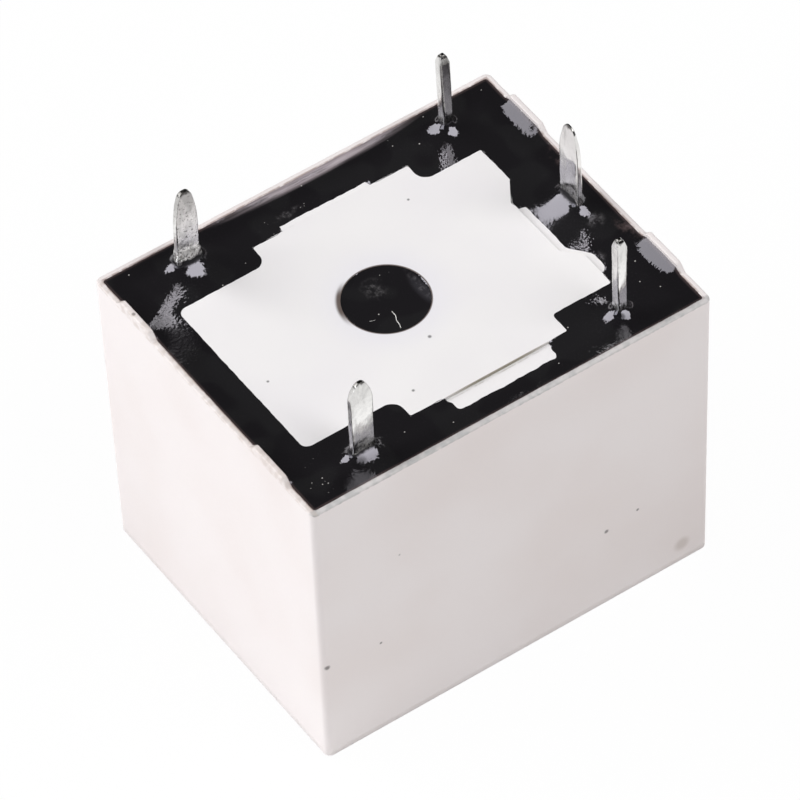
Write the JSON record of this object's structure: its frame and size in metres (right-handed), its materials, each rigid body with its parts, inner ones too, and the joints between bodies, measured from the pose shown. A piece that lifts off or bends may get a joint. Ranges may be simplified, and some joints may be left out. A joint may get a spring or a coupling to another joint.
{
  "type": "pcb power relay",
  "caption": "Sealed box-shaped changeover relay in a white plastic cover, pins up, with black sealant round the raised base and a hinged armature, coil and contacts inside.",
  "frame": {"origin": "centre of the cover's flat closed face, on which the relay lies with its pins up", "axes": "+Z towards the pins, +X along the case towards the common pin, +Y across the case"},
  "size_m": [0.0188, 0.0152, 0.0191],
  "materials": {
    "cover_white": "satin moulded white",
    "base_white": "fine matt moulded white",
    "sealant_black": "glossy cured epoxy",
    "tinned_pin": "tinned, streaked with solder",
    "tinned_blade": "tinned, streaked with solder",
    "magnet_iron": "plated soft iron",
    "bobbin_plastic": "moulded black",
    "copper_wire": "enamelled copper wire",
    "contact_silver": "silver alloy",
    "spring_bronze": "rolled spring bronze",
    "rivet_metal": "copper alloy"
  },
  "bodies": {
    "relay_frame": {"cover": "cover_white", "base": "base_white", "sealant_ring": "sealant_black", "sealant_plug": "sealant_black", "core": "magnet_iron", "yoke": "magnet_iron", "bobbin": "bobbin_plastic", "coil_winding": "copper_wire", "coil_pin_a": "tinned_pin", "coil_pin_b": "tinned_pin", "terminal_no": "tinned_blade", "terminal_nc": "tinned_blade", "terminal_common": "tinned_blade", "contact_no": "contact_silver", "contact_nc": "contact_silver", "yoke_rivet_a": "rivet_metal", "yoke_rivet_b": "rivet_metal"},
    "moving_armature": {"armature": "magnet_iron", "contact_spring": "spring_bronze", "moving_contact": "contact_silver", "armature_rivet_a": "rivet_metal", "armature_rivet_b": "rivet_metal"}
  },
  "joints": [
    {"name": "armature_hinge", "type": "hinge", "parent": "relay_frame", "child": "moving_armature", "pos_m": [0.0062, 0.0001, 0.0037], "axis": [0, 1, 0], "range_deg": [0, 2.1], "stiffness_Nm_per_rad": 0.054, "springref_deg": -2.12, "deforming": ["contact_spring"]}
  ]
}
